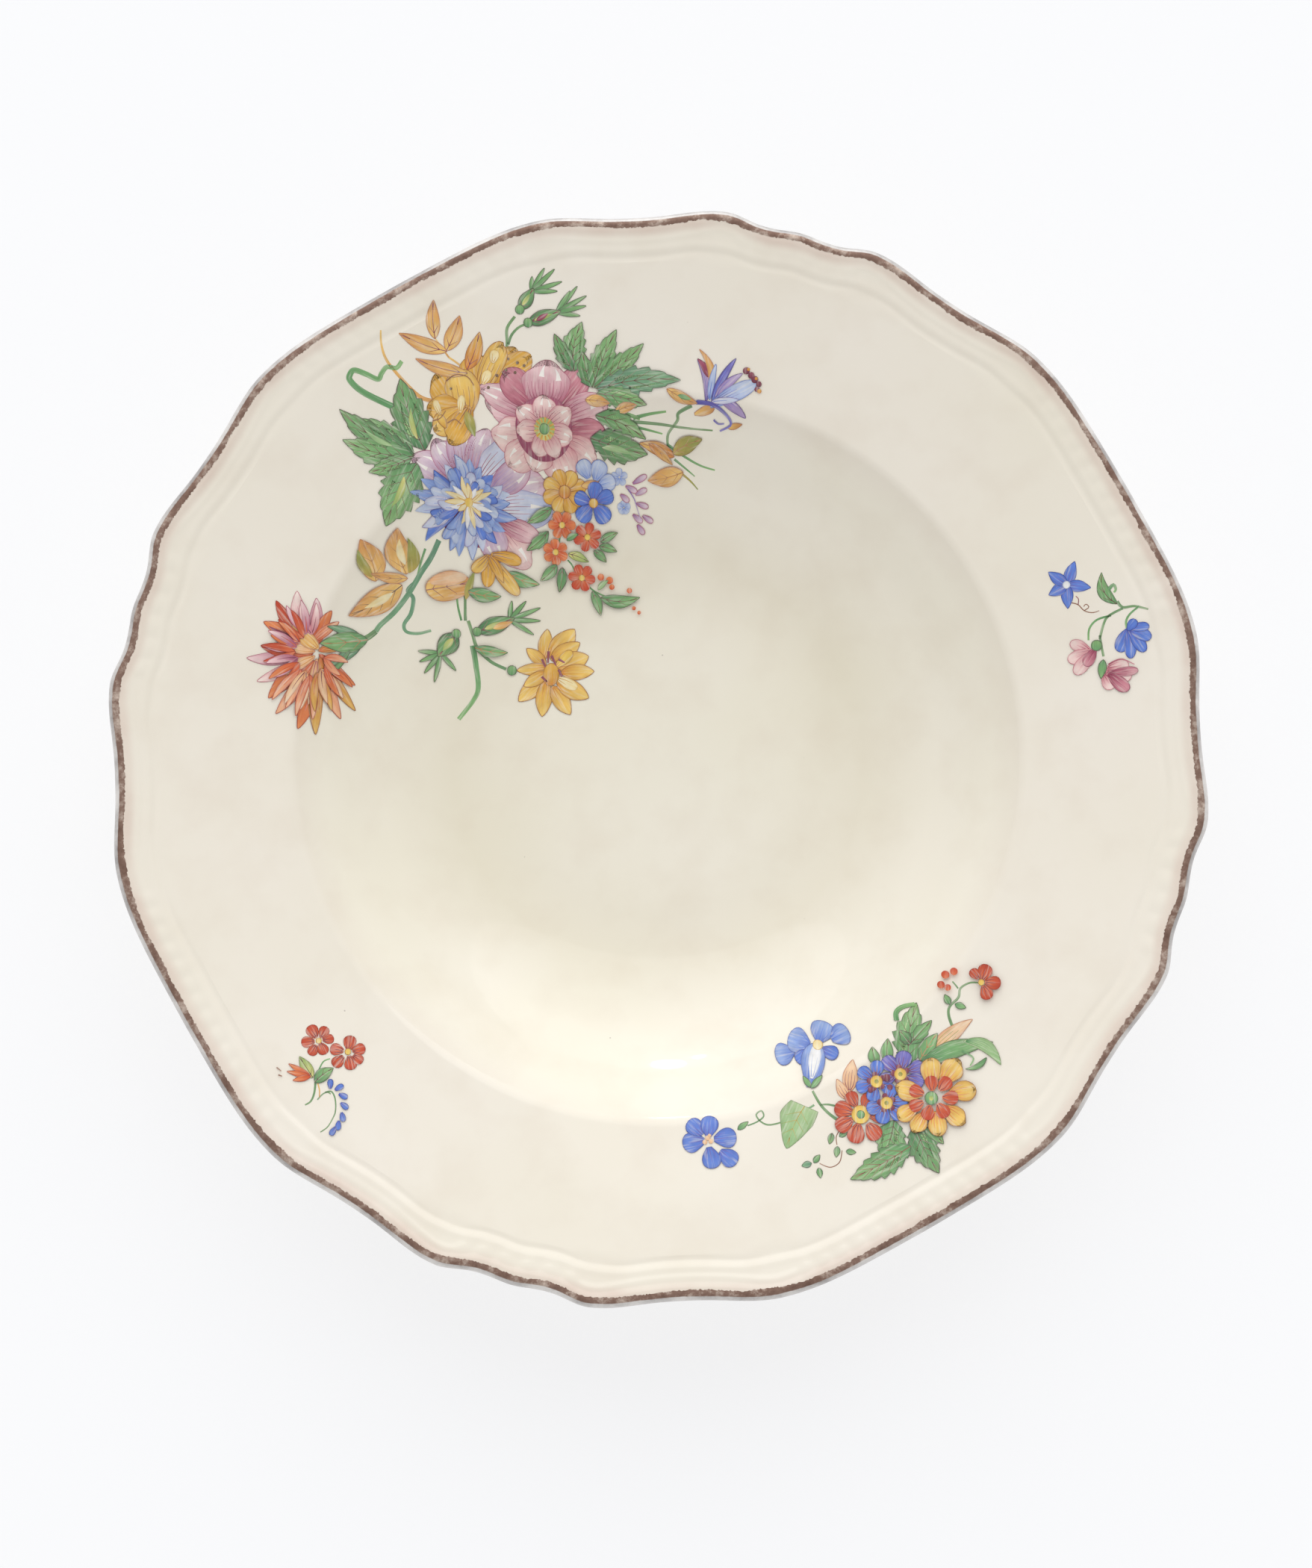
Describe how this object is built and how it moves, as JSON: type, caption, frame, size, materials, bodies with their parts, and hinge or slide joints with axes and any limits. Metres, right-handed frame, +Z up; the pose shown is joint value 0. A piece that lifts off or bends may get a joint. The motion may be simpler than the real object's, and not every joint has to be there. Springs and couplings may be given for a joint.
{
  "type": "serving bowl",
  "caption": "Shallow round serving bowl in cream glazed earthenware: broad sloping rim with a softly lobed edge, steep-walled well, foot ring, metal-lined rim and printed floral sprays.",
  "frame": {"origin": "centre of the foot ring, on the surface the bowl stands on", "axes": "+Z up, out of the bowl; +X and +Y across the rim, the bouquet lying towards -X and +Y"},
  "size_m": [0.239, 0.239, 0.043],
  "materials": {
    "biscuit": "bare fired earthenware, matt, seen on the end of the foot ring",
    "glaze": "clear cream glaze, glossy, with fine specks and knife marks",
    "lining": "brushed-on bright metal line, worn and darkened",
    "enamel_rose": "printed and hand-tinted enamels, glossy",
    "enamel_blue": "printed and hand-tinted enamels, glossy",
    "enamel_scarlet": "printed and hand-tinted enamels, glossy"
  },
  "bodies": {
    "root": {"biscuit_body": "biscuit", "glaze_coat": "glaze", "base_glaze": "glaze", "rim_lining": "lining", "bouquet_transfer": "enamel_rose", "posy_transfer": "enamel_blue", "bluebell_sprig_transfer": "enamel_blue", "scarlet_sprig_transfer": "enamel_scarlet"}
  },
  "joints": []
}
